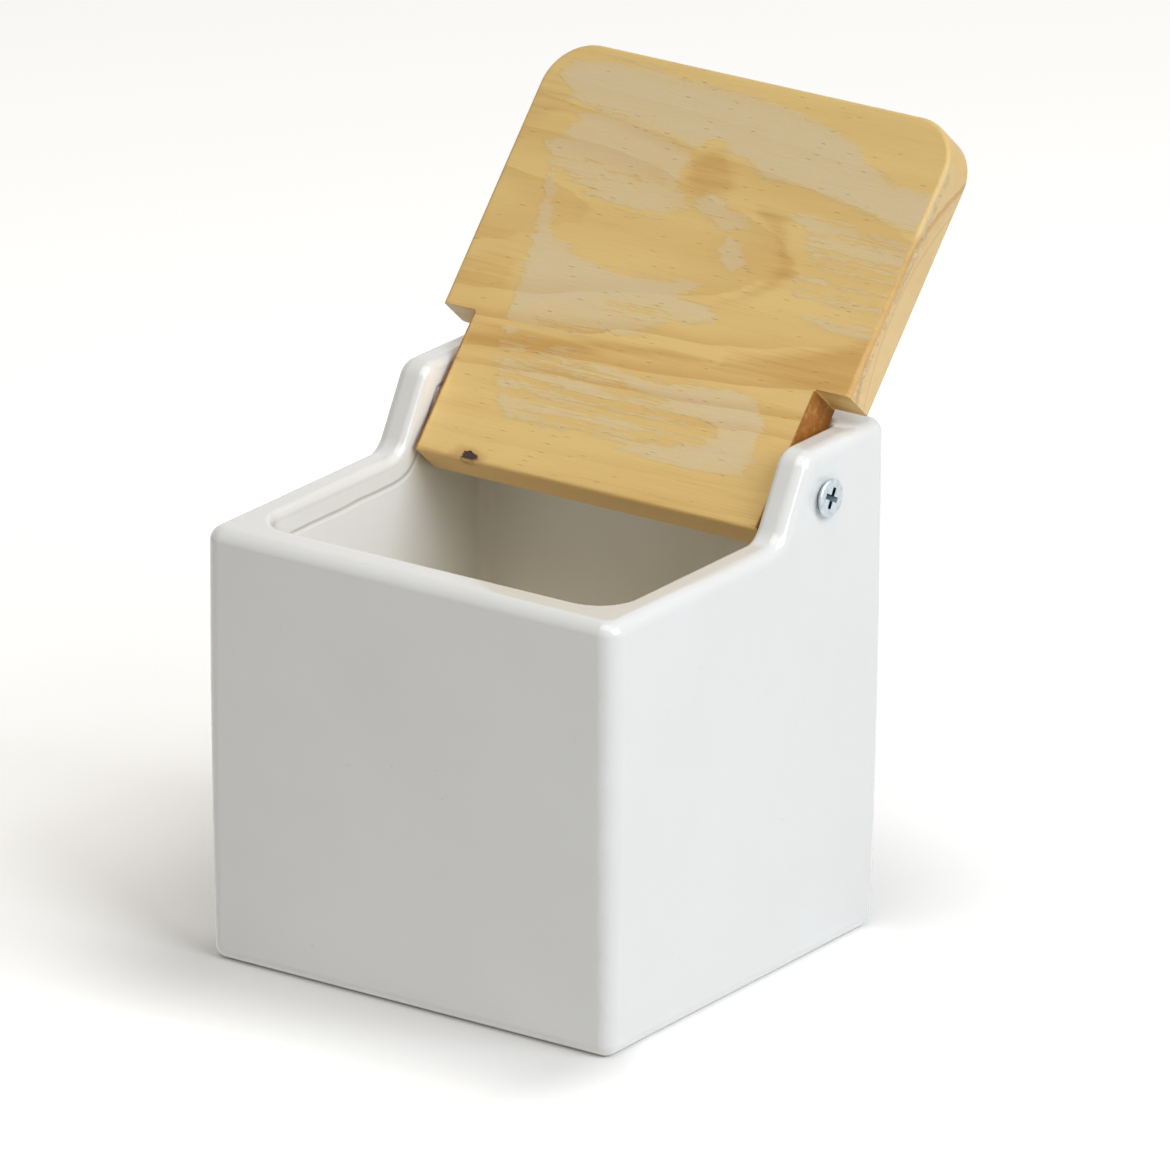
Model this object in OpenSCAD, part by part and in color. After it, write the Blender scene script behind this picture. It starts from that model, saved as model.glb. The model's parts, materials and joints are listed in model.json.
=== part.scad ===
// Salt box with a hinged wooden lid, drawn open: a glazed ceramic body whose collar
// carries the lid's neck on two screws. Origin: centre of the base, +Z up, front to -Y.

/* [Ceramic body] */
// Outer width at the rim
body_w = 100; // [84:1:140]
// Outer depth at the rim
body_d = 96.4; // [84:0.2:140]
// Height of the front rim
rim_h = 92; // [60:1:140]
// Thickness of the two side walls
wall_side = 7.2; // [5.6:0.1:8]
// Thickness of the front and back walls
wall_end = 8.8; // [7:0.1:9.4]
// Thickness of the floor
floor_t = 7; // [4:0.5:10]
// How far each wall draws in towards the base
taper = 1.1; // [0.2:0.1:1.1]
// Radius of the upright outer corners
corner_r = 4.2; // [4.2:0.1:6]
// Radius round the foot of the walls
base_r = 3; // [1:0.1:3]
// Height of the upright band at the top of the walls, above their draw-in
upright_band = 8; // [7:0.5:12]
// Depth of the unglazed recess under the base
recess = 1; // [0.4:0.1:2]
// Width of the foot ring round that recess
foot_ring = 8; // [6:0.5:12]

/* [Rim and collar] */
// Rounding of the rim's outer edge
rim_out_r = 3; // [1.5:0.1:3]
// Rounding of the rim's inner edge
rim_in_r = 1.8; // [1:0.1:2.2]
// Height of the collar above the front rim
collar_rise = 16.6; // [15.6:0.1:18]
// Length of the collar's cheeks, from the back face to their foot
cheek_depth = 38.2; // [36:0.2:42]
// Mean slope of the cheeks' front edge
cheek_slope = 61; // [56:1:66]
// Radius of the hollow blend at the cheeks' foot
foot_blend = 5; // [3:0.5:6]
// Radius of the blend at the cheeks' top
crest_blend = 5; // [5:0.5:6]

/* [Inside] */
// Radius of the two front inside corners
front_inner_r = 8; // [5:0.5:14]
// Radius of the two back inside corners
back_inner_r = 2.8; // [2.8:0.1:4.2]
// Radius between the floor and the walls
floor_r = 2.2; // [1:0.1:2.2]
// How far each inside wall draws in towards the floor
inner_taper = 0.5; // [0.2:0.1:0.5]

/* [Wooden lid] */
// Thickness of the board
lid_t = 9.4; // [8.6:0.1:11]
// Overhang of the lid past the front wall
overhang = 7.1; // [2:0.1:12]
// How far the lid's sides stay inside the walls' faces
side_inset = 0.4; // [0:0.1:3]
// Radius of the lid's two front corners
lid_corner_r = 10.5; // [4:0.5:16]
// Easing of the board's long edges
lid_ease = 0.9; // [0.3:0.1:1.5]

/* [Hinge] */
// Distance of the hinge line from the back face
hinge_setback = 22.7; // [22:0.1:24]
// Height of the hinge line above the lid's underside
hinge_in_lid = 5.8; // [5:0.1:6]
// Diameter of the screw holes in the cheeks
cheek_hole_d = 6; // [5:0.1:6.6]
// Diameter of the screw heads
head_d = 8; // [7.4:0.1:9]
// Outside diameter of the screw thread
thread_d = 4; // [3.4:0.1:4.4]
// Length of the screws
screw_len = 30; // [24:1:34]
// Turn of the cross in the right-hand head
cross_turn = 28; // [0:1:89]

/* [Clearances] */
// Gap under the closed lid, all along the rim
rest_gap = 0.3; // [0.2:0.1:0.8]
// Gap between the neck and each cheek
neck_gap = 1.2; // [0.8:0.1:1.6]
// Gap between the neck's swinging end and the back wall
swing_gap = 0.4; // [0.3:0.1:0.8]
// Gap between the lid's shoulders and the cheeks' foot
shoulder_gap = 1.1; // [0.6:0.1:2]
// Gap left where the open lid leans on the collar
lean_gap = 0.3; // [0.2:0.1:0.8]
// Gap between each screw head's cone and its hole
head_gap = 0.1; // [0.05:0.05:0.3]
// Radial gap between the thread's crests and the pilot hole
pilot_gap = 0.01; // [0.01:0.01:0.05]

/* [Hidden] */
$fn = 96;

// Half sizes outside and inside the body
hx = body_w / 2;
hy = body_d / 2;
ax = hx - wall_side;
ay = hy - wall_end;
collar_h = rim_h + collar_rise;
// Above this level every wall is upright
upright_z = rim_h - upright_band;
// The cheeks' front edge runs from rise_y up to level_y in three arcs that meet tangentially:
// the blend at the foot, a long slack bow and the blend at the crest
bow_turn = 2;
slope_a = cheek_slope - bow_turn / 2;
slope_b = cheek_slope + bow_turn / 2;
foot_y = hy - cheek_depth;
rise_y = round(100 * (foot_y - foot_blend * tan(cheek_slope / 2))) / 100;
level_y = round(100 * (foot_y + collar_rise / tan(cheek_slope)
  + crest_blend * tan(cheek_slope / 2))) / 100;
// Radii of the foot and the bow, from the height and the length that the crest leaves them
arc_rise = collar_rise - crest_blend * (1 - cos(slope_b));
arc_run = level_y - rise_y - crest_blend * sin(slope_b);
arc_det = (1 - cos(slope_a)) * (sin(slope_b) - sin(slope_a))
  - sin(slope_a) * (cos(slope_a) - cos(slope_b));
foot_r = (arc_rise * (sin(slope_b) - sin(slope_a))
  - arc_run * (cos(slope_a) - cos(slope_b))) / arc_det;
bow_r = (arc_run * (1 - cos(slope_a)) - arc_rise * sin(slope_a)) / arc_det;
// Depths of the bands that follow the cheeks' edge, and of the one round its crest; the
// core between them starts core_cover below the rim's rounding
band_depth = 3.5;
core_cover = 1;
crest_centre = 0.5;
solid_band = rim_out_r + band_depth;
hollow_band = rim_in_r + band_depth;
crest_band = crest_blend - crest_centre;
// Cuts run past the surface by this much
past = 1;

// Hinge line
hinge_y = hy - hinge_setback;
hinge_z = rim_h + rest_gap + hinge_in_lid;
// The lid, measured from the hinge line while it is closed
lid_hx = hx - side_inset;
neck_hx = ax - neck_gap;
lid_top = lid_t - hinge_in_lid;
lid_front = hinge_y + hy + overhang;
shoulder = hinge_y - rise_y + shoulder_gap;
tail = sqrt(pow(ay - hinge_y - swing_gap, 2) - pow(hinge_in_lid, 2));
// The open lid leans on the rounded inner edge at the back of the collar, and its neck may
// meet the two corners first, so the smallest opening over t degrees round a corner counts
function lean_angle(t) =
  let (
    r = back_inner_r + rim_in_r,
    x = ax - back_inner_r + r * sin(t) - neck_hx,
    y = ay - back_inner_r + r * cos(t) - hinge_y,
    z = collar_h - rim_in_r - hinge_z,
    near = rim_in_r + lean_gap
  ) x > near ? 180
    : atan2(y, z) + acos((lid_top + sqrt(near * near - pow(max(x, 0), 2))) / norm([y, z]));
open_angle = min([for (t = [0:2:90]) lean_angle(t)]);

// Screw proportions
head_land = 0.45;
head_ease = 0.15;
run_in = 0.5;
shank_r = 0.36 * thread_d;
core_r = 0.32 * thread_d;
thread_pitch = 0.45 * thread_d;
cone_h = head_d / 2 - shank_r;
// The head stands out until its cone meets the mouth of the hole
head_x = hx + head_land + (head_d - cheek_hole_d) / 2 + head_gap;
thread_start = head_x - neck_hx + run_in;
thread_turns = floor((screw_len - thread_start - thread_d) / thread_pitch);
thread_end = thread_start + thread_turns * thread_pitch;
cross_span = 0.56 * head_d;
cross_foot = 0.2 * head_d;
cross_depth = 0.28 * head_d;
cross_wing = 0.14 * head_d;
// The pilot hole runs this far past the screw's point
pilot_past = 0.3;

ceramic_body();
wooden_lid();
screw_right();
screw_left();

// A move that stays exact in files that keep only six digits: the rest is a second move
module exact_move(v) {
  coarse = [for (c = v) round(1000 * c) / 1000];
  translate(coarse) translate(v - coarse) children();
}

// Flat shape in X and Z, drawn out from y0 to y1
module along_y(y0, y1) {
  translate([0, y1, 0]) rotate([90, 0, 0]) linear_extrude(y1 - y0) children();
}

// Flat shape in Y and Z, drawn out from -half to half
module along_x(half) {
  rotate([90, 0, 90]) linear_extrude(2 * half, center = true) children();
}

// Bar shape swung about a line along X at y and z, on radius r, from angle a0 on by da;
// turn lays its top towards the centre (90) or away from it (-90)
module swing(y, z, r, a0, da, turn) {
  exact_move([0, y, z]) rotate([90, 0, 90]) rotate_extrude(angle = da, start = a0)
    exact_move([r, 0]) rotate(turn) children();
}

// The three swings that follow the cheeks' edge: child 0 on the foot and the bow,
// child 1 on the crest
module along_cheek() {
  back = foot_r - bow_r;
  swing(rise_y, rim_h + foot_r, foot_r, -90, slope_a, 90) children(0);
  swing(rise_y + back * sin(slope_a), rim_h + foot_r - back * cos(slope_a), bow_r,
    slope_a - 90, bow_turn, 90) children(0);
  swing(level_y, collar_h - crest_blend, crest_blend, 90, slope_b, -90) children(1);
}

// Bar across the box with its two upper corners rounded; top at 0, front to the right
module bar(half, depth, r) {
  translate([-half, -depth]) square([2 * half, depth - r]);
  translate([r - half, -depth]) square([2 * (half - r), depth]);
  intersection() {
    for (s = [-1, 1]) translate([s * (half - r), -r]) circle(r);
    translate([-half, -depth]) square([2 * half, depth]);
  }
}

// Bar across the hollow that flares out by r at the top and runs past it
module flared_bar(half, depth, r) {
  translate([-half, -depth]) square([2 * half, depth]);
  difference() {
    translate([-half - r, -r]) square([2 * (half + r), r + past]);
    for (s = [-1, 1]) translate([s * (half + r), -r]) circle(r);
  }
}

// Outline of one outer wall from the middle (x = 0) outwards, up to height h
module wall_profile(half, h) {
  steps = 6;
  foot = half - taper;
  polygon([
    [0, 0], [foot - base_r, 0], [foot - base_r, base_r], [foot, base_r],
    for (i = [1:steps])
      let (k = i / steps) [half - taper * pow(1 - k, 2), base_r + k * (upright_z - base_r)],
    [half, h], [0, h]
  ]);
  translate([foot - base_r, base_r]) circle(base_r);
}

// The same with a rounded rim
module rimmed_profile(half, h) {
  wall_profile(half, h - rim_out_r);
  square([half - rim_out_r, h]);
  translate([half - rim_out_r, h - rim_out_r]) circle(rim_out_r);
}

// Outline of the hollow from the middle outwards, up to height h
module hollow_profile(half, h) {
  steps = 6;
  foot = half - inner_taper;
  low = floor_t + floor_r;
  polygon([
    [0, floor_t], [foot - floor_r, floor_t], [foot - floor_r, low], [foot, low],
    for (i = [1:steps])
      let (k = i / steps) [half - inner_taper * pow(1 - k, 2), low + k * (upright_z - low)],
    [half, h], [0, h]
  ]);
  translate([foot - floor_r, low]) circle(floor_r);
}

// The same with its mouth flared into the rim's inner rounding
module mouth_profile(half, h) {
  hollow_profile(half, h);
  difference() {
    translate([0, h - rim_in_r]) square([half + rim_in_r, rim_in_r + past]);
    translate([half + rim_in_r, h - rim_in_r]) circle(rim_in_r);
  }
}

// One end of a box with upright corners of radius r, from its -Y face back to y_end;
// child 0 is the profile towards the sides, child 1 the profile towards the end
module box_end(half_x, half_y, r, y_end) {
  along_y(r - half_y, y_end) {
    children(0);
    mirror([1, 0]) children(0);
  }
  along_x(half_x - r) intersection() {
    mirror([1, 0]) children(1);
    translate([-half_y - 2 * r, 0]) square([3 * r, 2 * collar_h]);
  }
  for (s = [0, 1]) mirror([s, 0, 0]) translate([half_x - r, r - half_y, 0]) rotate([0, 0, -90])
    rotate_extrude(angle = 90) intersection() {
      translate([r - half_x, 0]) children(0);
      square([3 * r, 2 * collar_h]);
    }
}

// Polygon under the cheeks' edge, d below the surface
module under_edge(d) {
  shift = foot_y + d * tan(cheek_slope / 2);
  polygon([
    [rise_y, upright_z], [rise_y, rim_h - d], [shift, rim_h - d],
    [shift + collar_rise / tan(cheek_slope), collar_h - d], [level_y, collar_h - d],
    [level_y, upright_z]
  ]);
}

// Outer form, solid right through
module outer_form() {
  box_end(hx, hy, corner_r, rise_y) {
    rimmed_profile(hx, rim_h);
    rimmed_profile(hy, rim_h);
  }
  mirror([0, 1, 0]) box_end(hx, hy, corner_r, -level_y) {
    rimmed_profile(hx, collar_h);
    rimmed_profile(hy, collar_h);
  }
  along_y(rise_y, level_y) {
    wall_profile(hx, upright_z);
    mirror([1, 0]) wall_profile(hx, upright_z);
  }
  along_x(hx) under_edge(rim_out_r + core_cover);
  along_cheek() {
    bar(hx, solid_band, rim_out_r);
    bar(hx, crest_band, rim_out_r);
  }
}

// Hollow, with the flared mouth that rounds the rim's inner edge
module hollow_form() {
  box_end(ax, ay, front_inner_r, rise_y) {
    mouth_profile(ax, rim_h);
    mouth_profile(ay, rim_h);
  }
  mirror([0, 1, 0]) box_end(ax, ay, back_inner_r, -level_y) {
    mouth_profile(ax, collar_h);
    mouth_profile(ay, collar_h);
  }
  along_y(rise_y, level_y) {
    hollow_profile(ax, upright_z);
    mirror([1, 0]) hollow_profile(ax, upright_z);
  }
  along_x(ax) under_edge(rim_in_r + core_cover);
  along_cheek() {
    flared_bar(ax, hollow_band, rim_in_r);
    flared_bar(ax, crest_band, rim_in_r);
  }
}

// Rounded rectangle
module rounded_rect(half_x, half_y, r) {
  square([2 * half_x, 2 * (half_y - r)], center = true);
  square([2 * (half_x - r), 2 * half_y], center = true);
  for (i = [-1, 1], j = [-1, 1]) translate([i * (half_x - r), j * (half_y - r)]) circle(r);
}

module ceramic_body() {
  color([0.9, 0.9, 0.87]) difference() {
    outer_form();
    hollow_form();
    translate([0, hinge_y, hinge_z]) rotate([0, 90, 0])
      cylinder(h = body_w + 2 * past, d = cheek_hole_d, center = true);
    translate([0, 0, -past]) linear_extrude(recess + past)
      rounded_rect(hx - foot_ring, hy - foot_ring, corner_r);
  }
}

// The board lies closed round the hinge line, then swings open
module wooden_lid() {
  r = lid_corner_r;
  color([0.86, 0.69, 0.42]) translate([0, hinge_y, hinge_z]) rotate([-open_angle, 0, 0])
    difference() {
      union() {
        along_y(r - lid_front, -shoulder) board_section(lid_hx);
        along_x(lid_hx - r) intersection() {
          mirror([1, 0]) board_section(lid_front);
          translate([-lid_front, -lid_t]) square([r, 2 * lid_t]);
        }
        for (s = [0, 1]) mirror([s, 0, 0]) translate([lid_hx - r, r - lid_front, 0])
          rotate([0, 0, -90]) rotate_extrude(angle = 90) intersection() {
            translate([r - lid_hx, 0]) board_section(lid_hx);
            translate([0, -lid_t]) square([r, 2 * lid_t]);
          }
        along_x(neck_hx) {
          board_section(tail);
          translate([-shoulder - past, lid_top - lid_t]) square([shoulder + past, lid_t]);
        }
      }
      for (s = [0, 1]) mirror([s, 0, 0]) translate([neck_hx + past, 0, 0]) rotate([0, -90, 0])
        cylinder(h = neck_hx + past - (head_x - screw_len) + pilot_past,
          r = thread_d / 2 + pilot_gap);
    }
}

// Cross-section of the board with eased edges
module board_section(half) {
  translate([0, lid_top - lid_t / 2]) rounded_rect(half, lid_t / 2, lid_ease);
}

// Countersunk screw along X: face of the head at 0, point at -X
module screw() {
  rotate([0, 90, 0]) difference() {
    rotate_extrude() polygon([
      [0, 0], [head_d / 2 - head_ease, 0], [head_d / 2, -head_ease], [head_d / 2, -head_land],
      [shank_r, -head_land - cone_h], [shank_r, -thread_start],
      for (i = [0:thread_turns - 1]) each [
        [core_r, -thread_start - (i + 0.1) * thread_pitch],
        [core_r, -thread_start - (i + 0.5) * thread_pitch],
        [thread_d / 2, -thread_start - (i + 0.72) * thread_pitch],
        [thread_d / 2, -thread_start - (i + 0.78) * thread_pitch]
      ],
      [core_r, -thread_end - 0.05 * thread_pitch], [core_r, 2 * core_r - screw_len], [0, -screw_len]
    ]);
    for (a = [0, 90]) rotate([0, 0, a]) rotate([90, 0, 0])
      linear_extrude(cross_wing, center = true) polygon([
        [-cross_span / 2, past], [-cross_span / 2, 0], [-cross_foot / 2, -cross_depth],
        [cross_foot / 2, -cross_depth], [cross_span / 2, 0], [cross_span / 2, past]
      ]);
  }
}

module screw_right() {
  color([0.74, 0.76, 0.78]) translate([head_x, hinge_y, hinge_z]) rotate([-cross_turn, 0, 0])
    screw();
}

module screw_left() {
  color([0.74, 0.76, 0.78]) translate([-head_x, hinge_y, hinge_z]) rotate([cross_turn, 0, 180])
    screw();
}
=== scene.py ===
"""Salt box with a hinged wooden lid: glaze, wood, plated screws and the studio round them."""

import json
import math

import bmesh
import bpy
from bpy.props import FloatProperty, FloatVectorProperty, PointerProperty
from mathutils import Matrix, Vector


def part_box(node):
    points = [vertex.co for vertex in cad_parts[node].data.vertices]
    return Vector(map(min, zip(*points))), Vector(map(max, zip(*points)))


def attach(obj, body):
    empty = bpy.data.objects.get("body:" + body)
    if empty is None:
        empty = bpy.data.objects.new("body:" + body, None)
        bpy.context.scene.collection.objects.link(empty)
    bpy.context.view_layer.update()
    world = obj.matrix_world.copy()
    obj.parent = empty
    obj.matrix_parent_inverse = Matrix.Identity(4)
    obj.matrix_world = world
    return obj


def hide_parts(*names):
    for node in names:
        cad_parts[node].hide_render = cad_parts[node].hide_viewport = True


bl_info = {
    "name": "Salt Box Finishes",
    "version": (1, 0, 0),
    "blender": (4, 5, 0),
    "location": "View3D > Sidebar > Salt Box",
    "description": "Dresses a salt box with a hinged lid and lights it",
    "category": "Object",
}

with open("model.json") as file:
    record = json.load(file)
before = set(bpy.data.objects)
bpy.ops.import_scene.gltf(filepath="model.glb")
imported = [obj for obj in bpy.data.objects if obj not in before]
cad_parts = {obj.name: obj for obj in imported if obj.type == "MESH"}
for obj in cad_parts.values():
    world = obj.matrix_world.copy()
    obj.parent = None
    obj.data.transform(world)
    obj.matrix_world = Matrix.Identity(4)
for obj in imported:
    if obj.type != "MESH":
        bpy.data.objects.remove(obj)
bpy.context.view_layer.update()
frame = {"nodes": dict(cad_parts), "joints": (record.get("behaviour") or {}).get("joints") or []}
HINGE = Vector(frame["joints"][0]["pos_m"])
MM = 0.001

# Every size below is in millimetres. Pairs are the two ends of a smooth step.

# Top edge of the box: the front's height and the collar's crest, then where the cheeks' slope
# starts behind the middle and how steep it is, in degrees
RIM_TOP = 92.0
COLLAR_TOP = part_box("ceramic_body")[1][2] / MM
CHEEK_FOOT = 10.0
CHEEK_SLOPE = 61.0
# How rounded the turn from the front's rim to the cheeks' slope is
RIM_BLEND = 8.0
# Inside of the box, from the middle of its rim inwards
INSIDE_X = (45.2, 44.2)
INSIDE_Y = (44.0, 43.0)
# The trimmed crease below the rim, whose line also gets painted shade: its upper edge, its line
# and its lower edge
CREASE = (4.9, 5.7, 6.6)
# The bare foot ring, by height
BARE_FOOT = (0.55, 0.25)

# The board in its own directions: x across, v from the hinge to the front and u out of the
# underside
UNDERSIDE = (4.7, 5.3)
SIDE_FACE = (49.2, 49.45)
SIDE_EDGE = (48.6, 49.3)
NECK_SIDE = (41.0, 41.5)
SHOULDER = (19.3, 19.0)
NECK_END = -12.2
KNOT = (-29.2, -11.2, 5.0)
# The pith behind the board: its v, its depth and how far it sinks per millimetre across
PITH_V = 43.0
PITH_DEPTH = 22.9
PITH_TILT = 0.086
FIRST_RING = 30.7
# The arcs on the sides: the v of their turn, their bend and the u of the fine arc there
ARC_V = 40.0
ARC_BEND = 0.0095
ARC_U = 3.0

# Outer face of the screws' heads, and the reach of the cross recess from the axis
HEAD_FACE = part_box("screw_right")[1][0] / MM
RECESS_REACH = (2.7, 2.4)


# ---------------------------------------------------------------- shader maths


class Value:
    """A node's output socket that draws Python arithmetic as Math nodes."""

    def __init__(self, graph, socket):
        self.graph = graph
        self.socket = socket

    def math(self, operation, *inputs, clamp=False):
        node = self.graph.node(
            "ShaderNodeMath",
            {"operation": operation, "use_clamp": clamp},
            dict(enumerate(inputs)),
        )
        return self.graph.out(node)

    def __add__(self, other):
        return self.math("ADD", self, other)

    def __radd__(self, other):
        return self.math("ADD", other, self)

    def __sub__(self, other):
        return self.math("SUBTRACT", self, other)

    def __rsub__(self, other):
        return self.math("SUBTRACT", other, self)

    def __mul__(self, other):
        return self.math("MULTIPLY", self, other)

    def __truediv__(self, other):
        return self.math("DIVIDE", self, other)

    def __pow__(self, other):
        return self.math("POWER", self, other)

    def __abs__(self):
        return self.math("ABSOLUTE", self)

    def fraction(self):
        return self.math("FRACT", self)

    def clamped(self):
        return self.math("ADD", self, 0.0, clamp=True)

    def larger(self, other):
        return self.math("MAXIMUM", self, other)

    def smaller(self, other):
        return self.math("MINIMUM", self, other)

    def step(self, low, high):
        """0 below low, 1 above high, smooth between; turned round if low is above high."""
        node = self.graph.node(
            "ShaderNodeMapRange",
            {"interpolation_type": "SMOOTHSTEP"},
            {"Value": self, "From Min": low, "From Max": high, "To Min": 0.0, "To Max": 1.0},
        )
        return self.graph.out(node)


class Graph:
    """The node tree of a material or a world, cleared and ready to be drawn on."""

    def __init__(self, owner):
        owner.use_nodes = True
        self.tree = owner.node_tree
        self.tree.nodes.clear()

    def node(self, kind, settings=None, sockets=None):
        """A node of that kind: its settings are set first, then its sockets are set or linked."""
        made = self.tree.nodes.new(kind)
        for name, value in (settings or {}).items():
            setattr(made, name, value)
        for name, value in (sockets or {}).items():
            target = made.inputs[name]
            if isinstance(value, Value):
                self.tree.links.new(value.socket, target)
            elif target.type == "RGBA" and len(value) == 3:
                target.default_value = (*value, 1.0)
            else:
                target.default_value = value
        return made

    def out(self, node, name=0):
        return Value(self, node.outputs[name])

    def vector(self, operation, *inputs, output="Vector"):
        node = self.node(
            "ShaderNodeVectorMath", {"operation": operation}, dict(enumerate(inputs))
        )
        return self.out(node, output)

    def dot(self, vector, direction):
        return self.vector("DOT_PRODUCT", vector, direction, output="Value")

    def combine(self, x, y, z):
        return self.out(self.node("ShaderNodeCombineXYZ", None, {0: x, 1: y, 2: z}))

    def split(self, vector):
        node = self.node("ShaderNodeSeparateXYZ", None, {0: vector})
        return [self.out(node, axis) for axis in "XYZ"]

    def place(self):
        """Object coordinates in millimetres."""
        coordinates = self.node("ShaderNodeTexCoord")
        return self.vector("MULTIPLY", self.out(coordinates, "Object"), (1000.0,) * 3)

    def stretched(self, vector, *factors):
        return self.vector("MULTIPLY", vector, factors)

    def noise(self, vector, scale, detail, roughness):
        node = self.node(
            "ShaderNodeTexNoise",
            None,
            {"Vector": vector, "Scale": scale, "Detail": detail, "Roughness": roughness},
        )
        return self.out(node, "Fac")

    def cells(self, vector, scale):
        """Distance to the nearest of many scattered points."""
        node = self.node("ShaderNodeTexVoronoi", None, {"Vector": vector, "Scale": scale})
        return self.out(node, "Distance")

    def mix(self, factor, first, second, blend="MIX"):
        """Colour mix; first shows at 0 and second at 1."""
        node = self.node(
            "ShaderNodeMix",
            {"data_type": "RGBA", "blend_type": blend, "clamp_factor": True},
            {"Factor": factor},
        )
        for index, color in ((6, first), (7, second)):
            if isinstance(color, Value):
                self.tree.links.new(color.socket, node.inputs[index])
            else:
                node.inputs[index].default_value = (*color, 1.0)
        return Value(self, node.outputs[2])

    def bump(self, height, distance, normal=None):
        sockets = {"Height": height, "Distance": distance}
        if normal is not None:
            sockets["Normal"] = normal
        return self.out(self.node("ShaderNodeBump", None, sockets))

    def surface(self, **sockets):
        """Principled surface wired to the output."""
        named = {name.replace("_", " "): value for name, value in sockets.items()}
        shader = self.node("ShaderNodeBsdfPrincipled", None, named)
        self.node("ShaderNodeOutputMaterial", None, {"Surface": self.out(shader)})


def outside(past_x, past_y):
    """Distance from a rectangle, given how far a point lies past its sides both ways."""
    past_x, past_y = past_x.larger(0.0), past_y.larger(0.0)
    return (past_x * past_x + past_y * past_y) ** 0.5


# ---------------------------------------------------------------- materials


def glaze_material(look):
    """Off-white glossy glaze over a pale body, bare on the foot ring, with painted light near the
    rim inside and painted shade with warm bounce deeper in.
    """
    material = bpy.data.materials.new("glaze")
    graph = Graph(material)
    place = graph.place()
    x, y, z = graph.split(place)
    inside = abs(x).step(*INSIDE_X) * abs(y).step(*INSIDE_Y)

    clouds = graph.noise(place, 0.03, 3.0, 0.55)
    color = graph.mix(clouds.step(0.3, 0.7), look.glaze_color, look.glaze_shade)
    # A few faint specks in the glaze
    speck = graph.cells(place, 0.16).step(0.045, 0.02)
    color = graph.mix(speck * 0.3, color, look.speck_and_shade_color)
    # Distance below the rim: the front's top, or the collar's slope and crest behind it
    slope = math.radians(CHEEK_SLOPE)
    behind = (y - CHEEK_FOOT) * math.sin(slope) - (z - RIM_TOP) * math.cos(slope)
    behind = behind.smaller(COLLAR_TOP - z)
    below = graph.out(
        graph.node(
            "ShaderNodeMath",
            {"operation": "SMOOTH_MAX"},
            {0: RIM_TOP - z, 1: behind, 2: RIM_BLEND},
        )
    )
    trimmed = below + (graph.noise(place, 0.05, 2.0, 0.5) - 0.5) * 1.4
    upper, line, lower = CREASE
    crease_and_shade = (trimmed.step(upper, line) * trimmed.step(lower, line)) * inside
    # Inside the box: painted light near the rim, lighter than the glaze, and painted shade with
    # warm bounce deeper down
    inner = graph.mix(below.step(8.0, 45.0), look.lit_inner_color, look.deep_shade_color)
    color = graph.mix(inside * below.step(0.5, 2.5), color, inner)
    # Painted shade along the crease's line, in the specks' colour; the groove itself is in the
    # bump below
    color = graph.mix(crease_and_shade * 0.16, color, look.speck_and_shade_color)
    # Bare body on the foot ring
    bare = z.step(*BARE_FOOT)
    grit = graph.noise(place, 2.2, 4.0, 0.7)
    bisque = graph.mix(grit, look.bisque_color, look.grit_color)
    color = graph.mix(bare, color, bisque)

    smear = graph.noise(graph.stretched(place, 0.02, 0.02, 0.05), 1.0, 3.0, 0.6)
    roughness = look.glaze_roughness + smear.step(0.35, 0.75) * 0.05 + bare * 0.6

    waves = graph.noise(place, 0.045, 1.0, 0.4)
    skin = graph.noise(place, 0.35, 2.0, 0.5)
    pits = graph.cells(place, 0.11).step(0.05, 0.0)
    normal = graph.bump(waves, look.waviness * MM)
    normal = graph.bump(skin - pits * 0.25, 0.035 * MM, normal=normal)
    normal = graph.bump(1.0 - crease_and_shade, 0.22 * MM, normal=normal)
    normal = graph.bump(grit * bare, 0.25 * MM, normal=normal)
    graph.surface(
        Base_Color=color,
        Roughness=roughness,
        IOR=1.5,
        Normal=normal,
        Coat_Weight=(1.0 - bare) * 0.6,
        Coat_Roughness=0.03,
        Coat_IOR=1.5,
    )
    return material


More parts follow.
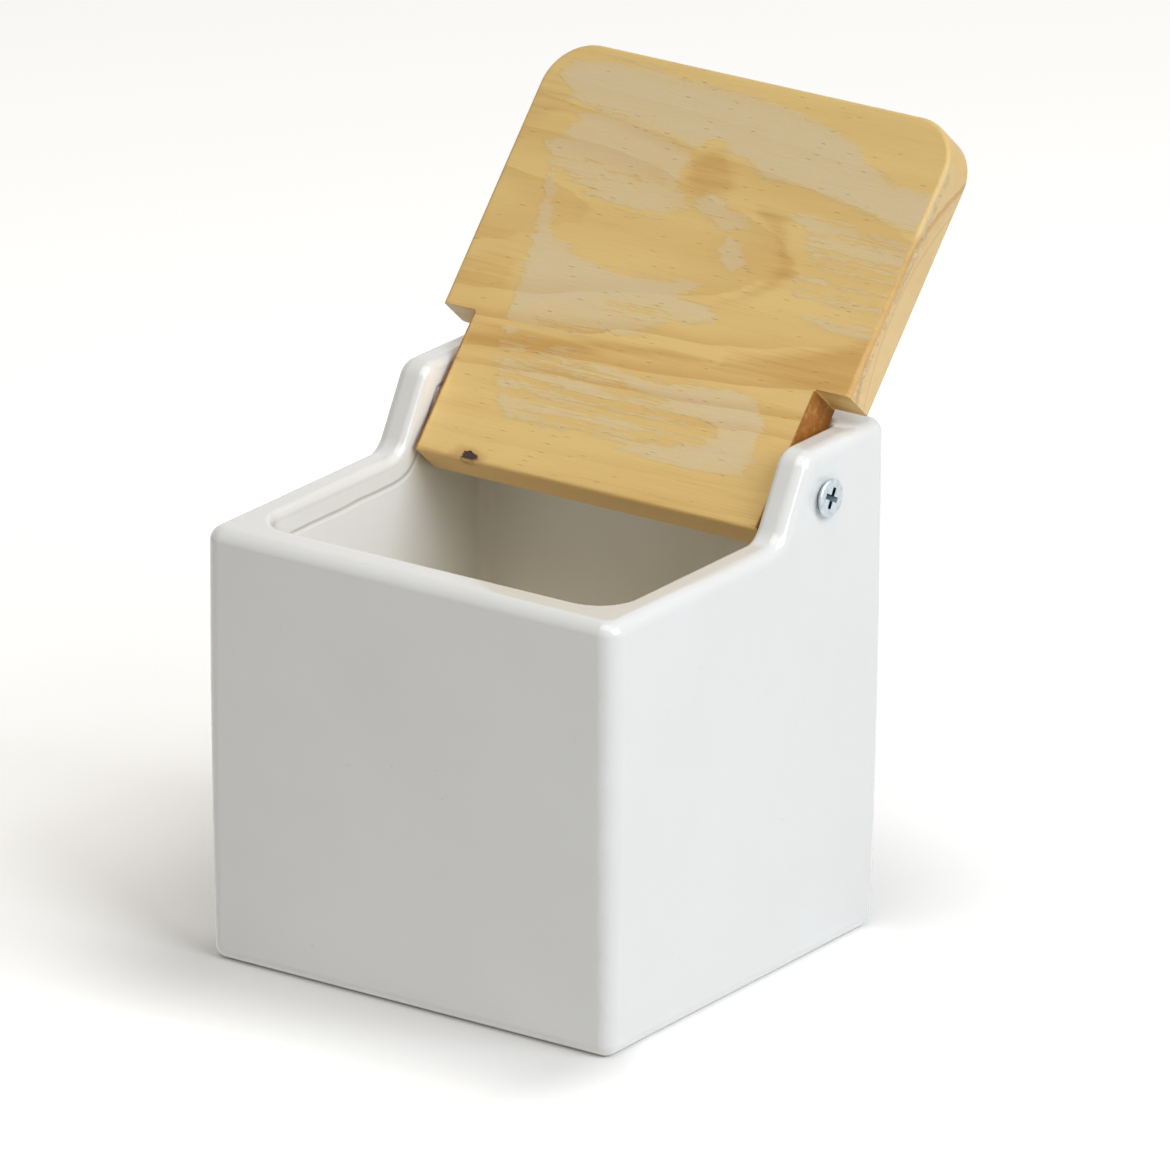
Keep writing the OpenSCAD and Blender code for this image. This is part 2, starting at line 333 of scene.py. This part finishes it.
# Where the oil never took: strength of the dryness, and the patch's outline in millimetres
# across the board and along it from the hinge
DRY_PATCHES = (
    (1.0, ((-45.4, 73.1), (-43.5, 76.3), (-36, 77.8), (-19.8, 77.5), (9, 76.5), (19, 74.8),
           (27.8, 72.2), (31.8, 68.5), (37.1, 65.5), (45.9, 65.4), (52, 66), (52, 56),
           (41.5, 56.9), (29, 59), (9, 61.3), (1.5, 63.8), (-3.5, 66), (-8.5, 63.8),
           (-19.8, 65.3), (-32.3, 67.8), (-37.9, 67.8), (-42.3, 69.8))),
    (0.74, ((-41, 60), (-37.3, 65), (-32.3, 68.5), (-19.8, 66), (-7.9, 63.1), (-8, 56),
            (-2.3, 50), (-9.8, 47.3), (-21, 47.8), (-33.5, 50), (-37.9, 51.9), (-41.6, 56.3))),
    (1.0, ((-42, 57.8), (-38.5, 55), (-35.4, 48.8), (-34.1, 42.5), (-31, 38.1), (-22.3, 36),
           (-12.3, 34.3), (-1, 34.8), (5.9, 36.3), (6.3, 34.8), (1.5, 32.5), (11.5, 31),
           (13, 29), (9, 27.5), (-1, 28.5), (-13.5, 26.9), (-31, 21.3), (-32.3, 17.5),
           (-34.1, 20), (-34.8, 30), (-36, 38.8), (-37.3, 45), (-39.1, 51.3))),
    (0.66, ((-32.3, 26.3), (-13.5, 27), (-1, 28), (9, 27), (1.5, 24.4), (-3.5, 21.3),
            (-13.5, 20), (-26, 18.8), (-31, 17.5), (-31, 10), (-33, 6), (-33, 15))),
    (0.85, ((-4.1, 53.1), (0.3, 55), (5.3, 53.1), (11.5, 51.9), (12.8, 49.4), (7.8, 47.5),
            (11.5, 46.3), (14, 42.5), (13.4, 38.8), (10.3, 38.8), (7.8, 41.9), (5.9, 43.8),
            (7.1, 46.9), (2.8, 48.8), (-1.6, 50))),
    (0.58, ((15.3, 56.3), (26.5, 56.9), (39, 56), (52, 54.4), (52, 44.4), (41.5, 45),
            (36.5, 43.8), (29, 44.4), (25.3, 47.3), (22.8, 51.9), (19, 54.4))),
    (0.45, ((26.5, 43.8), (36.5, 43.5), (52, 42.5), (52, 30.6), (44, 31.9), (36.5, 32.8),
            (30.3, 33.8), (24, 38.8))),
    (0.85, ((30.9, 34.8), (41.5, 34), (52, 34.8), (52, 32), (41.5, 31.8), (32.8, 32.5))),
    (0.5, ((-32.3, 15), (-26, 16.9), (-13.5, 16.3), (1.5, 15), (11.5, 16.9), (29, 17.1),
            (32.8, 13.8), (35.5, 8.1), (35.3, 0), (24, -3.5), (14, -3.5), (1.5, -2.5),
            (-13.5, -1.9), (-24.8, -1.3), (-26.6, 2.5), (-30.4, 6.9), (-32.5, 10))),
    (0.9, ((-26, 14.6), (-13.5, 13.8), (-3, 12), (6, 9.6), (18, 8), (24, 5.2), (20, 1.9),
           (8, 0.2), (2, -1.2), (8, -2.6), (22, -3), (33.6, -1), (34.2, 8), (31, 14.4),
           (24, 15.6), (8, 13.4), (-8, 15), (-20, 15.9))),
    (0.85, ((-31, 9.6), (-28.6, 7.4), (-25.6, 3), (-22, 0.8), (-8, -0.4), (-10, -1.6),
            (-24, -1.4), (-27.4, 1.4), (-30, 5))),
)
# Darker, warmer wood round the grain's turns, given the same way
DARK_PATCHES = (
    (0.6, ((-7.9, 61.3), (-5, 64.5), (-1, 65.6), (1.5, 62.5), (5.3, 58.8), (4, 55.6),
            (-2.3, 53.1), (-7.3, 55))),
    (0.6, ((11.5, 55), (19, 53.8), (24, 46.3), (26.8, 42.5), (24, 38.1), (19, 33.8),
           (10, 31.5), (19, 38.8), (21.5, 42.5), (17.8, 47.5), (12.1, 51.9))),
    (1.0, ((-41, 11.9), (-19.8, 13.8), (-7.3, 17.5), (4, 18.5), (26.5, 20.3), (52, 22.3),
           (52, 25.6), (36.5, 23.8), (19, 21.3), (4, 20.6), (-7.3, 19.4), (-26, 16.9),
           (-41, 15))),
    (0.8, ((16, 18.5), (52, 18.5), (52, 34), (46, 31), (38, 27.5), (28, 24.5), (18, 22.5))),
    (0.45, ((-52, 22), (-36, 24.5), (-36, 33), (-42, 33.5), (-52, 31))),
    (0.4, ((-52, 60), (-46, 60), (-40, 66), (-40, 70), (-46, 72), (-52, 70))),
)
PATCH_EDGE = 4.0
# Lines of the grid that the patches are noted on: first and last, across and along
GRID_ACROSS = (-49, 49)
GRID_ALONG = (-12, 79)


def cover(across, along, patches):
    """How far the patches cover a point, fading over the width of their edges."""
    most = 0.0
    for strength, outline in patches:
        nearest, within = PATCH_EDGE, False
        for (ax, av), (bx, bv) in zip(outline, outline[1:] + outline[:1]):
            dx, dv = bx - ax, bv - av
            share = ((across - ax) * dx + (along - av) * dv) / (dx * dx + dv * dv)
            share = min(1.0, max(0.0, share))
            gap = math.hypot(across - ax - share * dx, along - av - share * dv)
            nearest = min(nearest, gap)
            if (av > along) != (bv > along) and across < ax + (along - av) * dx / dv:
                within = not within
        signed = nearest if within else -nearest
        most = max(most, strength * min(1.0, max(0.0, 0.5 + signed / PATCH_EDGE)))
    return most


def pine_material(look):
    """Oiled pine with dry patches, ring figure, end grain and a knot."""
    material = bpy.data.materials.new("pine")
    graph = Graph(material)
    # Board coordinates: across, from the hinge to the front, and out of the underside
    place = graph.vector("SUBTRACT", graph.place(), tuple(HINGE * 1000.0))
    x, v, u = (graph.dot(place, tuple(way)) for way in board_ways(look.opening))
    board = graph.combine(x, v, u)
    underside = u.step(*UNDERSIDE)
    dry_map, dark_map = (
        graph.out(graph.node("ShaderNodeAttribute", {"attribute_name": name}), "Fac")
        for name in ("dry", "dark")
    )

    # Growth rings round the pith
    drift = graph.noise(graph.stretched(board, 0.014, 0.05, 0.05), 1.0, 2.0, 0.5) - 0.5
    wander = graph.noise(graph.stretched(board, 0.03, 0.16, 0.16), 1.0, 3.0, 0.55) - 0.5
    height = v - PITH_V + drift * 9.0
    depth = x * PITH_TILT + u + PITH_DEPTH
    radius = (height * height + depth * depth) ** 0.5 + wander * 2.4
    # On the sawn sides the rings show as long arcs
    sides = abs(x).step(*SIDE_FACE)
    arcs = u + (v - ARC_V) * (v - ARC_V) * ARC_BEND - ARC_U + wander * 0.8
    phase = ((radius - FIRST_RING) / look.ring_spacing).fraction()
    uneven = graph.noise(graph.stretched(board, 0.01, 0.07, 0.07), 1.0, 2.0, 0.5).step(0.3, 0.68)
    late = phase.step(0.45, 0.95) * phase.step(1.0, 0.97)
    # Few rings show above the swirl and on the neck
    calm = radius.step(36.6, 37.6) * v.step(48.0, 58.0) * 0.85 + v.step(10.0, 4.0) * 0.65
    late = late * (0.25 + uneven * 0.75) * (1.0 - calm) * (1.0 - sides)

    fibres = graph.noise(graph.stretched(board, 0.05, 2.6, 2.6), 1.0, 4.0, 0.65)
    streaks = graph.noise(graph.stretched(board, 0.022, 0.55, 0.55), 1.0, 4.0, 0.65)
    broad = graph.noise(graph.stretched(board, 0.012, 0.11, 0.11), 1.0, 3.0, 0.55)
    ragged = graph.noise(graph.stretched(board, 0.10, 0.30, 0.1), 1.0, 4.0, 0.62)

    color = graph.mix(broad.step(0.32, 0.68), look.oil_color, look.honey_color)
    warm = (dark_map + (streaks - 0.5) * 1.1 + (broad - 0.5) * 0.5).step(0.15, 0.95) * underside
    color = graph.mix(late * 0.6, color, look.late_color)
    color = graph.mix(warm * 0.92, color, look.late_color)
    color = graph.mix(streaks.step(0.55, 0.8) * 0.35, color, look.late_color)

    # Dry patches: ragged at the edges, streaked along the grain where they are weak
    frayed = graph.noise(graph.stretched(board, 0.3, 1.1, 0.3), 1.0, 3.0, 0.65)
    cover_map = dry_map + (streaks - 0.5) * (2.1 - dry_map * 1.4) + (ragged - 0.5) * 0.6
    cover_map = cover_map + (fibres - 0.5) * (1.3 - dry_map) + (frayed - 0.5) * 0.5
    cover_map = cover_map * dry_map.step(0.02, 0.2)
    dry = cover_map.step(0.46, 0.57) * underside
    thick = cover_map.step(0.5, 1.1)
    dry_tone = graph.mix(thick, look.half_dry_color, look.dry_color)
    dry_tone = graph.mix(late * 0.35, dry_tone, look.late_color)
    dry_tone = graph.mix(warm * 0.4, dry_tone, look.late_color)
    dry_tone = graph.mix(fibres.step(0.6, 0.75) * 0.25, dry_tone, look.honey_color)
    color = graph.mix(dry * 0.88, color, dry_tone)

    # End grain on the two sides and in the notches
    neck_sides = abs(x).step(*NECK_SIDE) * v.step(*SHOULDER)
    end_grain = (neck_sides + sides).clamped()
    pale = graph.mix(broad, look.side_color, look.end_color)
    color = graph.mix(end_grain * 0.8, color, pale)
    torn_arc = arcs + (ragged - 0.5) * 1.5
    broad_arc = torn_arc.step(2.4, 3.4) * torn_arc.step(4.4, 3.8)
    fine_arc = abs(arcs).step(0.5, 0.1)
    between = torn_arc.step(0.2, 1.6) * torn_arc.step(4.4, 3.8) * fibres.step(0.4, 0.7)
    arc = (broad_arc * 0.6 + fine_arc * 0.35 + between * 0.4).clamped()
    color = graph.mix(sides * arc, color, look.arc_color)
    # Painted shade on the neck's sides in the notches, where the ears shade them, warmed as by
    # bounce from the wood and streaked along the grain
    neck_side_shade = graph.mix(streaks.step(0.45, 0.7) * 0.5, look.neck_side_shade_color, look.late_color)
    color = graph.mix(neck_sides, color, neck_side_shade)
    # Darker along the lower part of the side edges
    darker_edge = abs(x).step(*SIDE_EDGE) * u.step(4.5, 5.0) * v.step(57.0, 54.0)
    color = graph.mix(darker_edge * 0.7, color, look.late_color)

    # Torn pale fibres where the saw came out
    edge = sides * u.step(2.6, 3.6) * u.step(5.0, 4.6)
    torn = (edge * 0.9 + (ragged - 0.5) * 1.8 + (fibres - 0.5)).step(0.8, 1.15) * edge
    color = graph.mix(torn * 0.6, color, look.torn_color)

    # Fine fibres and pores everywhere
    color = graph.mix(fibres.step(0.60, 0.8) * 0.3, color, look.late_color, "MULTIPLY")
    pores = graph.cells(graph.stretched(board, 0.12, 1.6, 1.6), 1.0).step(0.12, 0.03)
    color = graph.mix(pores * 0.35, color, look.pore_color)
    specks = graph.cells(graph.stretched(board, 1.0, 1.3, 1.8), 1.0).step(0.2, 0.05)
    color = graph.mix(specks * end_grain * 0.3, color, look.pore_color)

    # The knot at the neck's end
    away = graph.stretched(graph.vector("SUBTRACT", board, KNOT), 0.42, 0.75, 0.6)
    nudge = graph.noise(graph.stretched(board, 0.5, 0.5, 0.5), 1.0, 3.0, 0.6)
    knot = graph.vector("LENGTH", away, output="Value") + (nudge - 0.5) * 1.6
    core = knot.step(1.05, 0.65)
    color = graph.mix(knot.step(2.4, 0.7) * 0.55, color, look.halo_color)
    color = graph.mix(core, color, look.knot_color)

    # The board is a little darker towards its front, and the neck's end has its own colour
    darkened = graph.mix(look.front_darkening, color, (0.0, 0.0, 0.0))
    color = graph.mix(v.step(75.0, NECK_END + 0.2), darkened, color)
    color = graph.mix(v.step(NECK_END + 0.7, NECK_END + 0.2) * 0.8, color, look.neck_end_color)

    roughness = 0.40 + dry * 0.28 + end_grain * 0.2 + (fibres - 0.5) * 0.15
    relief = fibres * 0.5 + streaks * 0.3 - late * 0.25 - pores * 0.8 - core * 6.0
    sand = graph.noise(board, 1.7, 3.0, 0.7)
    normal = graph.bump(relief + sand * dry * 0.45 + torn * 0.8, 0.13 * MM)
    graph.surface(Base_Color=color, Roughness=roughness, IOR=1.45, Normal=normal)
    return material


def zinc_material(look, side):
    """Bright zinc plate with turning marks round the screw's axis."""
    material = bpy.data.materials.new("zinc_" + side)
    graph = Graph(material)
    place = graph.vector("SUBTRACT", graph.place(), tuple(HINGE * 1000.0))
    x, y, z = graph.split(place)
    ring = (y * y + z * z) ** 0.5
    turned = graph.noise(graph.combine(ring, x * 0.2, 0.0), 5.0, 3.0, 0.6)
    bloom = graph.noise(place, 0.9, 4.0, 0.65)
    color = graph.mix(bloom.step(0.35, 0.7), look.zinc_color, look.zinc_shade)
    # Painted shade: the cross recess is dull and dark below the head's face
    recess_shade = abs(x).step(HEAD_FACE - 0.03, HEAD_FACE - 0.12) * ring.step(*RECESS_REACH)
    color = graph.mix(recess_shade, color, look.recess_shade_color)
    roughness = 0.22 + bloom * 0.18 + turned * 0.1
    normal = graph.bump(turned, 0.02 * MM)
    graph.surface(
        Base_Color=color, Metallic=1.0, Roughness=roughness, Normal=normal
    )
    return material


# ---------------------------------------------------------------- meshes

# Distances in metres: between points taken as one, and along edges taken as none
SAME_POINT = 2e-7
NO_LENGTH = 1e-8


def smooth_piece(name, node, sharp_angle):
    """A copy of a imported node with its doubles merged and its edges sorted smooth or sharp."""
    mesh = bpy.data.meshes.new(name)
    work = bmesh.new()
    work.from_mesh(frame["nodes"][node].data)
    bmesh.ops.remove_doubles(work, verts=work.verts, dist=SAME_POINT)
    bmesh.ops.dissolve_degenerate(work, edges=work.edges, dist=NO_LENGTH)
    for face in work.faces:
        face.smooth = True
    for edge in work.edges:
        edge.smooth = edge.calc_face_angle(math.pi) < sharp_angle
    work.to_mesh(mesh)
    work.free()
    piece = bpy.data.objects.new(name, mesh)
    bpy.context.scene.collection.objects.link(piece)
    weighted = piece.modifiers.new("Weighted Normal", "WEIGHTED_NORMAL")
    weighted.keep_sharp = True
    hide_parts(node)
    return piece


def board_ways(opening):
    """The open board's directions: across, from the hinge to the front, out of the underside."""
    return (
        Vector((1.0, 0.0, 0.0)),
        Vector((0.0, -math.cos(opening), math.sin(opening))),
        Vector((0.0, -math.sin(opening), -math.cos(opening))),
    )


def map_patches(piece, opening):
    """Cut the underside into a fine grid and note on it how dry and how dark the wood is."""
    across, along, out = board_ways(opening)
    work = bmesh.new()
    work.from_mesh(piece.data)
    faces = [face for face in work.faces if face.normal.dot(out) > 0.999]
    cut = set(faces)
    for face in faces:
        cut.update(face.edges)
        cut.update(face.verts)
    cut = list(cut)
    for way, (first, last) in ((across, GRID_ACROSS), (along, GRID_ALONG)):
        for step in range(first, last + 1):
            cut = bmesh.ops.bisect_plane(
                work, geom=cut, plane_co=HINGE + way * (step * MM), plane_no=way, dist=1e-6
            )["geom"]
    dry = work.verts.layers.float.new("dry")
    dark = work.verts.layers.float.new("dark")
    for vertex in work.verts:
        place = (vertex.co - HINGE) / MM
        spot = place.dot(across), place.dot(along)
        vertex[dry] = cover(*spot, DRY_PATCHES)
        vertex[dark] = cover(*spot, DARK_PATCHES)
    work.to_mesh(piece.data)
    work.free()


def dress(piece, material, body):
    piece.data.materials.clear()
    piece.data.materials.append(material)
    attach(piece, body)


# ---------------------------------------------------------------- settings


def color_property(name, description, default):
    return FloatVectorProperty(
        name=name, description=description, default=default, size=3, min=0.0, max=1.0,
        subtype="COLOR",
    )


class BodySettings(bpy.types.PropertyGroup):
    """Glaze of the ceramic body."""

    glaze_color: color_property("Glaze", "Colour of the glaze", (0.795, 0.80, 0.795))
    glaze_shade: color_property("Glaze shade", "Colour of its faint clouds", (0.775, 0.778, 0.768))
    # Inside colours: painted light near the rim and painted shade with warm bounce deeper down
    lit_inner_color: color_property("Inner glaze", "Colour inside the box", (0.965, 0.965, 0.945))
    deep_shade_color: color_property("Deep glaze", "Colour down inside the box", (0.89, 0.85, 0.745))
    # The specks' colour also paints the shade along the inner crease
    speck_and_shade_color: color_property("Specks", "Colour of the faint specks", (0.45, 0.38, 0.28))
    bisque_color: color_property("Bare body", "Colour of the bare foot ring", (0.74, 0.69, 0.60))
    grit_color: color_property("Grit", "Colour of its coarse grains", (0.55, 0.50, 0.42))
    glaze_roughness: FloatProperty(
        name="Roughness", description="Roughness of the glaze", default=0.12, min=0.0, max=1.0
    )
    waviness: FloatProperty(
        name="Waviness", description="Height of the slow waves in the walls, in millimetres",
        default=0.25, min=0.0, max=2.0,
    )


class LidSettings(bpy.types.PropertyGroup):
    """Wood of the lid."""

    oil_color: color_property("Oiled wood", "Colour of the oiled wood", (0.85, 0.605, 0.235))
    honey_color: color_property("Darker wood", "Colour of its darker bands", (0.80, 0.545, 0.20))
    late_color: color_property("Late wood", "Colour of the rings' dark lines", (0.62, 0.35, 0.095))
    dry_color: color_property("Dry wood", "Colour of the dry patches", (0.78, 0.63, 0.395))
    half_dry_color: color_property("Half-dry wood", "Colour at their edges", (0.80, 0.615, 0.325))
    end_color: color_property("End grain", "Colour of the end grain", (0.76, 0.52, 0.25))
    side_color: color_property("Sawn side", "Colour of its paler parts", (0.84, 0.65, 0.36))
    # Painted shade on the neck's sides in the notches
    neck_side_shade_color: color_property("Soaked sides", "Colour of the neck's sides", (0.36, 0.13, 0.018))
    arc_color: color_property("Side arcs", "Colour of the arcs on the sides", (0.60, 0.36, 0.15))
    neck_end_color: color_property("Neck end", "Colour of its end face", (0.95, 0.61, 0.22))
    torn_color: color_property("Torn fibres", "Colour of the torn edge", (0.80, 0.68, 0.45))
    pore_color: color_property("Pores", "Colour of the pores", (0.45, 0.24, 0.09))
    halo_color: color_property("Round the knot", "Colour round the knot", (0.42, 0.20, 0.07))
    knot_color: color_property("Knot", "Colour of the knot", (0.035, 0.012, 0.006))
    front_darkening: FloatProperty(
        name="Front darkening", description="How much darker the board's front is",
        default=0.13, min=0.0, max=1.0,
    )
    ring_spacing: FloatProperty(
        name="Ring spacing", description="Width of a growth ring, in millimetres",
        default=4.35, min=1.0, max=20.0,
    )
    opening: FloatProperty(
        name="Opening", description="Angle of the lid in the packed model",
        default=math.radians(131.302), subtype="ANGLE", unit="ROTATION",
    )


class ScrewSettings(bpy.types.PropertyGroup):
    """Plating of the screws."""

    zinc_color: color_property("Zinc", "Colour of the plating", (0.62, 0.68, 0.72))
    # Painted shade down in the cross recess
    recess_shade_color: color_property("Recess", "Colour down in the cross", (0.13, 0.17, 0.20))
    zinc_shade: color_property("Zinc shade", "Colour of its duller patches", (0.46, 0.53, 0.57))


class StageSettings(bpy.types.PropertyGroup):
    """Floor, lamps and backdrop."""

    floor_color: color_property("Floor", "Colour of the floor", (0.76, 0.76, 0.76))
    floor_glow: FloatProperty(
        name="Floor glow", description="Light added to the floor for the camera alone",
        default=0.38,
    )
    floor_size: FloatProperty(
        name="Floor size", description="Side of the square floor", default=8.0, unit="LENGTH"
    )
    key_power: FloatProperty(
        name="Key lamp", description="Power of the large lamp at the right, in watts", default=20.5
    )
    top_power: FloatProperty(
        name="Top lamp", description="Power of the lamp above, in watts", default=12.0
    )
    ambient: FloatProperty(
        name="Ambient", description="Strength of the light from all round", default=0.16
    )
    key_color: color_property("Key colour", "Colour of the key lamp", (0.91, 0.95, 1.0))
    top_color: color_property("Top colour", "Colour of the lamp above", (1.0, 0.96, 0.88))
    ambient_color: color_property("Ambient colour", "Colour of the ambient", (1.0, 0.95, 0.87))
    seen_color: color_property("Floor as seen", "Floor's colour to the camera", (0.98, 0.98, 0.98))


# ---------------------------------------------------------------- operators

LAMP_TARGET = Vector((0.0, 0.0, 0.06))


class SALTBOX_OT_body(bpy.types.Operator):
    """Glaze the ceramic body"""

    bl_idname = "saltbox.body"
    bl_label = "Ceramic body"

    def execute(self, context):
        piece = smooth_piece("glazed_box", "ceramic_body", math.radians(28))
        dress(piece, glaze_material(context.scene.saltbox_body), "body")
        return {"FINISHED"}


class SALTBOX_OT_lid(bpy.types.Operator):
    """Finish the wooden lid"""

    bl_idname = "saltbox.lid"
    bl_label = "Wooden lid"

    def execute(self, context):
        look = context.scene.saltbox_lid
        piece = smooth_piece("pine_board", "wooden_lid", math.radians(35))
        map_patches(piece, look.opening)
        dress(piece, pine_material(look), "lid")
        return {"FINISHED"}


class SALTBOX_OT_screws(bpy.types.Operator):
    """Plate the two screws"""

    bl_idname = "saltbox.screws"
    bl_label = "Screws"

    def execute(self, context):
        for side in ("right", "left"):
            piece = smooth_piece("plated_screw_" + side, "screw_" + side, math.radians(35))
            dress(piece, zinc_material(context.scene.saltbox_screws, side), "lid")
        return {"FINISHED"}


def add_lamp(name, place, size, power, color):
    """Square lamp turned towards the box."""
    light = bpy.data.lights.new(name, "AREA")
    light.size = size
    light.energy = power
    light.color = color
    lamp = bpy.data.objects.new(name, light)
    bpy.context.scene.collection.objects.link(lamp)
    lamp.location = place
    lamp.rotation_mode = "QUATERNION"
    lamp.rotation_quaternion = (LAMP_TARGET - Vector(place)).to_track_quat("-Z", "Y")


def add_camera():
    """Camera at the place that was fitted to the photograph's box, rim and lid."""
    azimuth, elevation, roll = map(math.radians, (34.886, 19.940, 0.382))
    middle = Vector((0, 0, 0.055))
    distance, aside, below = 3.4489, -0.007748, -0.019782
    # In the photograph's pixels: the focal length, the frame and the lens's centre in it
    focal_px, frame_px = 17211.0, 1170.0
    centre_x, centre_y = 584.0, 585.9
    back = Vector((
        math.sin(azimuth) * math.cos(elevation),
        -math.cos(azimuth) * math.cos(elevation),
        math.sin(elevation),
    ))
    level = Vector((-back.y, back.x, 0.0)).normalized()
    upright = back.cross(level)
    right = math.cos(roll) * level + math.sin(roll) * upright
    up = -math.sin(roll) * level + math.cos(roll) * upright
    data = bpy.data.cameras.new("camera")
    data.sensor_width = 36.0
    data.lens = focal_px / frame_px * data.sensor_width
    data.shift_x = (frame_px / 2 - centre_x) / frame_px
    data.shift_y = (centre_y - frame_px / 2) / frame_px
    data.clip_start, data.clip_end = 0.1, 50.0
    camera = bpy.data.objects.new("camera", data)
    bpy.context.scene.collection.objects.link(camera)
    spot = middle + back * distance - right * aside - up * below
    turned = Matrix((right, up, back)).transposed().to_4x4()
    camera.matrix_world = Matrix.Translation(spot) @ turned
    bpy.context.scene.camera = camera


def floor_material(look):
    """Pale floor that shows white to the camera and keeps the shadow, with a painted shadow round
    the box's foot.
    What mirrors it sees it glow as a painted reflection, bright near the box and behind it, and
    dim towards the front."""
    material = bpy.data.materials.new("floor")
    graph = Graph(material)
    path = graph.node("ShaderNodeLightPath")
    seen = graph.out(path, "Is Camera Ray").larger(graph.out(path, "Is Transmission Ray"))
    x, y, _ = graph.split(graph.place())
    half_x, half_y = 50.0, 48.0
    # Painted shadow round the box's foot for the camera alone, lying nearer the side away from the
    # key lamp
    shade = outside(abs(x + 12.0) - half_x, abs(y + 4.0) - half_y).step(75.0, 0.0)
    # Painted contact shadow in front of the box's foot, for the camera alone
    painted_contact_shadow = outside(abs(x) - 40.0, -half_y - y).step(45.0, 0.0)
    painted_contact_shadow = painted_contact_shadow * y.step(-30.0, -47.0) * x.step(65.0, 40.0)
    shown = graph.mix(painted_contact_shadow * 0.37, look.seen_color, (0.0, 0.0, 0.0))
    color = graph.mix(seen, look.floor_color, shown)
    diffuse = graph.node("ShaderNodeBsdfDiffuse", None, {"Color": color})

    # Painted reflection: the floor glows for glossy rays alone, more near the box and behind it,
    # less towards the front
    near = ((x * x + y * y) ** 0.5).step(700.0, 120.0)
    reflection_glow = graph.out(path, "Is Glossy Ray") * (0.1 + near.larger(y.step(-300.0, 300.0)) * 0.4)
    glow = seen * (look.floor_glow - shade * 0.26) + reflection_glow
    light = graph.node("ShaderNodeEmission", None, {"Color": graph.combine(glow, glow, glow)})
    both = graph.node("ShaderNodeAddShader", None, {0: graph.out(diffuse), 1: graph.out(light)})
    graph.node("ShaderNodeOutputMaterial", None, {"Surface": graph.out(both)})
    return material


class SALTBOX_OT_stage(bpy.types.Operator):
    """Set up the floor, the lamps, the backdrop and the camera"""

    bl_idname = "saltbox.stage"
    bl_label = "Studio"

    def execute(self, context):
        look = context.scene.saltbox_stage
        mesh = bpy.data.meshes.new("floor")
        work = bmesh.new()
        bmesh.ops.create_grid(work, x_segments=1, y_segments=1, size=look.floor_size / 2)
        work.to_mesh(mesh)
        work.free()
        floor = bpy.data.objects.new("floor", mesh)
        context.scene.collection.objects.link(floor)
        mesh.materials.append(floor_material(look))

        add_lamp("key", (1.35, -0.11, 1.00), 1.2, look.key_power, look.key_color)
        add_lamp("top", (0.10, -0.50, 1.60), 1.4, look.top_power, look.top_color)

        world = bpy.data.worlds.new("studio")
        context.scene.world = world
        graph = Graph(world)
        path = graph.node("ShaderNodeLightPath")
        seen = (
            graph.out(path, "Is Camera Ray")
            .larger(graph.out(path, "Is Glossy Ray"))
            .larger(graph.out(path, "Is Transmission Ray"))
        )
        dim = tuple(look.ambient * part for part in look.ambient_color)
        sky = graph.node(
            "ShaderNodeBackground", None, {"Color": graph.mix(seen, dim, (1.0, 1.0, 1.0))}
        )
        graph.node("ShaderNodeOutputWorld", None, {"Surface": graph.out(sky)})
        context.scene.view_settings.view_transform = "Standard"
        add_camera()
        return {"FINISHED"}


class SALTBOX_PT_panel(bpy.types.Panel):
    """Sidebar panel of the salt box"""

    bl_idname = "SALTBOX_PT_panel"
    bl_label = "Salt Box"
    bl_space_type = "VIEW_3D"
    bl_region_type = "UI"
    bl_category = "Salt Box"

    def draw(self, context):
        for group, operator in SECTIONS:
            box = self.layout.box()
            settings = getattr(context.scene, group)
            for name in settings.__annotations__:
                box.prop(settings, name)
            box.operator(operator)


SECTIONS = (
    ("saltbox_body", "saltbox.body"),
    ("saltbox_lid", "saltbox.lid"),
    ("saltbox_screws", "saltbox.screws"),
    ("saltbox_stage", "saltbox.stage"),
)
GROUPS = (BodySettings, LidSettings, ScrewSettings, StageSettings)
CLASSES = GROUPS + (
    SALTBOX_OT_body,
    SALTBOX_OT_lid,
    SALTBOX_OT_screws,
    SALTBOX_OT_stage,
    SALTBOX_PT_panel,
)


def register():
    for cls in CLASSES:
        bpy.utils.register_class(cls)
    for (name, _), group in zip(SECTIONS, GROUPS):
        setattr(bpy.types.Scene, name, PointerProperty(type=group))


def unregister():
    for name, _ in SECTIONS:
        delattr(bpy.types.Scene, name)
    for cls in reversed(CLASSES):
        bpy.utils.unregister_class(cls)


def main():
    register()
    bpy.ops.saltbox.body()
    bpy.ops.saltbox.lid()
    bpy.ops.saltbox.screws()
    bpy.ops.saltbox.stage()


if __name__ == "__main__":
    main()
